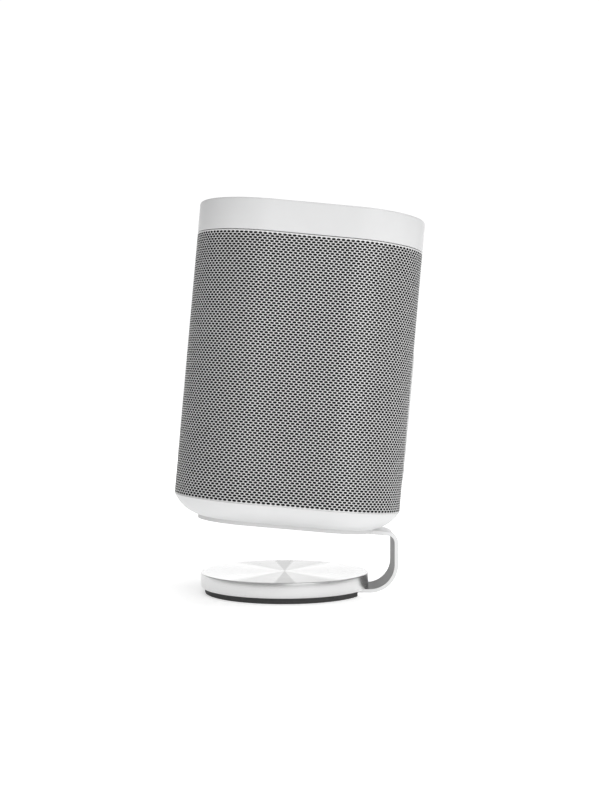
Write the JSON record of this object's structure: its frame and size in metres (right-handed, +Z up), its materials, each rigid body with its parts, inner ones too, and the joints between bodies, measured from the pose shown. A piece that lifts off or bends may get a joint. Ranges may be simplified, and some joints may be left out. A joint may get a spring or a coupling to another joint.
{
  "type": "smart speaker",
  "caption": "Rounded-square smart speaker with a white cap and base and a perforated metal grille, leaning back on a round metal desk stand with a bent strap arm.",
  "frame": {"origin": "middle of the rubber pad's underside, on the disc's axis, on the desk", "axes": "+Z up; -Y is the speaker's front and +Y the side of the strap arm; +X is on the right of a listener who faces the speaker's front"},
  "size_m": [0.1184, 0.1314, 0.2071],
  "materials": {
    "rubber": "matt moulded rubber",
    "spun_aluminium": "spun, with fine turned rings and a bevelled lower edge",
    "white_steel": "white powder coat",
    "screw_steel": "zinc plated",
    "white_shell": "fine satin moulded",
    "white_foot": "soft matt moulded",
    "white_button": "satin moulded",
    "grille_metal": "silver paint on perforated steel",
    "black_cloth": "black woven acoustic cloth",
    "grey_housing": "matt moulded",
    "black_seal": "closed-cell foam",
    "white_panel": "satin moulded",
    "brass_part": "machined",
    "socket_steel": "tin plated",
    "black_plastic": "matt moulded",
    "magnet_ferrite": "sintered ferrite",
    "pole_steel": "zinc plated",
    "spider_cloth": "resin-dipped cloth",
    "cone_paper": "coated paper",
    "coil_film": "amber film",
    "copper_wire": "enamelled copper",
    "dome_silk": "coated silk",
    "lead_red": "insulated wire",
    "green_board": "solder mask",
    "sink_aluminium": "extruded",
    "power_component": "tape-wrapped",
    "lens_clear": "frosted light pipe"
  },
  "bodies": {
    "speaker_on_stand": {"desk_pad": "rubber", "stand_disc": "spun_aluminium", "stand_arm": "white_steel", "disc_screws": "screw_steel", "cradle_screws": "screw_steel", "foot_pad": "white_foot", "base_tray": "white_shell", "tray_inserts": "brass_part", "tray_screws": "screw_steel", "grille_sleeve": "grille_metal", "acoustic_cloth": "black_cloth", "front_housing": "grey_housing", "chamber_seal": "black_seal", "chamber_back": "grey_housing", "rear_housing": "grey_housing", "housing_bolts": "screw_steel", "rear_panel": "white_panel", "mount_insert": "brass_part", "panel_screws": "screw_steel", "network_socket": "socket_steel", "power_inlet": "black_plastic", "inlet_pins": "socket_steel", "woofer_seal": "black_seal", "woofer_frame": "grey_housing", "woofer_top_plate": "pole_steel", "woofer_magnet": "magnet_ferrite", "woofer_yoke": "pole_steel", "woofer_spider": "spider_cloth", "woofer_surround": "black_seal", "woofer_screws": "screw_steel", "tweeter_horn": "grey_housing", "tweeter_cup": "pole_steel", "tweeter_magnet": "magnet_ferrite", "tweeter_screws": "screw_steel", "woofer_leads": "lead_red", "tweeter_leads": "lead_red", "lead_grommets": "black_seal", "main_board": "green_board", "shield_can": "socket_steel", "heat_sink": "sink_aluminium", "power_board": "green_board", "power_parts": "power_component", "board_screws": "screw_steel", "wifi_antennas": "copper_wire", "control_carrier": "grey_housing", "control_board": "green_board", "tact_switches": "black_plastic", "microphones": "brass_part", "mic_boots": "black_seal", "status_lens": "lens_clear", "top_cap": "white_shell", "cap_screws": "screw_steel"},
    "woofer_cone": {"woofer_cone": "cone_paper", "woofer_dust_cap": "cone_paper", "coil_former": "coil_film", "coil_winding": "copper_wire"},
    "tweeter_dome": {"tweeter_dome": "dome_silk", "tweeter_winding": "copper_wire"},
    "play_button": {"play_button": "white_button"},
    "volume_rocker": {"volume_rocker": "white_button"}
  },
  "joints": [
    {"name": "woofer_travel", "type": "slide", "parent": "speaker_on_stand", "child": "woofer_cone", "axis": [0, -0.9961, 0.0886], "range_m": [-0.0025, 0.0025], "stiffness_N_per_m": 800},
    {"name": "tweeter_travel", "type": "slide", "parent": "speaker_on_stand", "child": "tweeter_dome", "axis": [0, -0.9961, 0.0886], "range_m": [-0.0003, 0.0003], "stiffness_N_per_m": 60},
    {"name": "play_button_press", "type": "slide", "parent": "speaker_on_stand", "child": "play_button", "axis": [0, -0.0886, -0.9961], "range_m": [0, 0.0008], "stiffness_N_per_m": 120, "springref_m": -0.0005},
    {"name": "volume_rocker_tilt", "type": "hinge", "parent": "speaker_on_stand", "child": "volume_rocker", "pos_m": [0, 0.02023, 0.19584], "axis": [0, 0.9961, -0.0886], "range_deg": [-2.5, 2.5], "stiffness_Nm_per_rad": 0.02}
  ]
}
